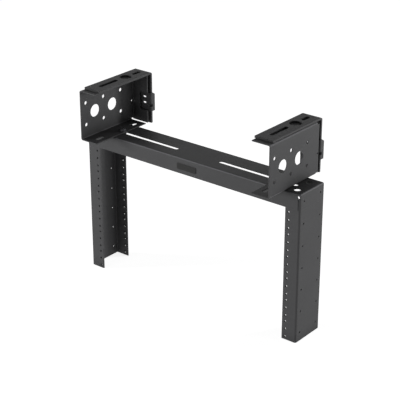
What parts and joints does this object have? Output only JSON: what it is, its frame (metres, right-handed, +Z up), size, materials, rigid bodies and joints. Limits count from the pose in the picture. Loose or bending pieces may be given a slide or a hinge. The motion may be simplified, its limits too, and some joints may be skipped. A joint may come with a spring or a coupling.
{
  "type": "ceiling mount equipment rack",
  "caption": "Open ceiling mount rack frame: two hole-patterned legs under a slotted crossbar, with sliding slotted side brackets on top for hanging from a ceiling or tray.",
  "frame": {"origin": "on the floor under the middle of the whole rack's width and depth, level with the leg bottoms", "axes": "+X to the right seen from the front, +Y from front to back, +Z up"},
  "size_m": [0.5144, 0.1674, 0.406],
  "materials": {
    "frame_coat": "satin black powder coat on folded steel sheet",
    "bracket_coat": "satin black powder coat on formed steel",
    "black_zinc": "black zinc plated steel",
    "label": "bare dark plastic plate"
  },
  "bodies": {
    "frame": {"crossbar": "frame_coat", "left_leg": "frame_coat", "right_leg": "frame_coat", "label_plate": "label"},
    "left_hanger": {"left_bracket": "bracket_coat", "left_strap": "bracket_coat", "left_back_clip": "bracket_coat", "left_clamp_bolt": "black_zinc", "left_clamp_nut": "black_zinc", "left_upper_washer": "black_zinc", "left_lower_washer": "black_zinc"},
    "right_hanger": {"right_bracket": "bracket_coat", "right_strap": "bracket_coat", "right_back_clip": "bracket_coat", "right_clamp_bolt": "black_zinc", "right_clamp_nut": "black_zinc", "right_upper_washer": "black_zinc", "right_lower_washer": "black_zinc"}
  },
  "joints": [
    {"name": "left_hanger_slide", "type": "slide", "parent": "frame", "child": "left_hanger", "axis": [1, 0, 0], "range_m": [-0.029, 0.138]},
    {"name": "right_hanger_slide", "type": "slide", "parent": "frame", "child": "right_hanger", "axis": [-1, 0, 0], "range_m": [-0.029, 0.138]}
  ]
}
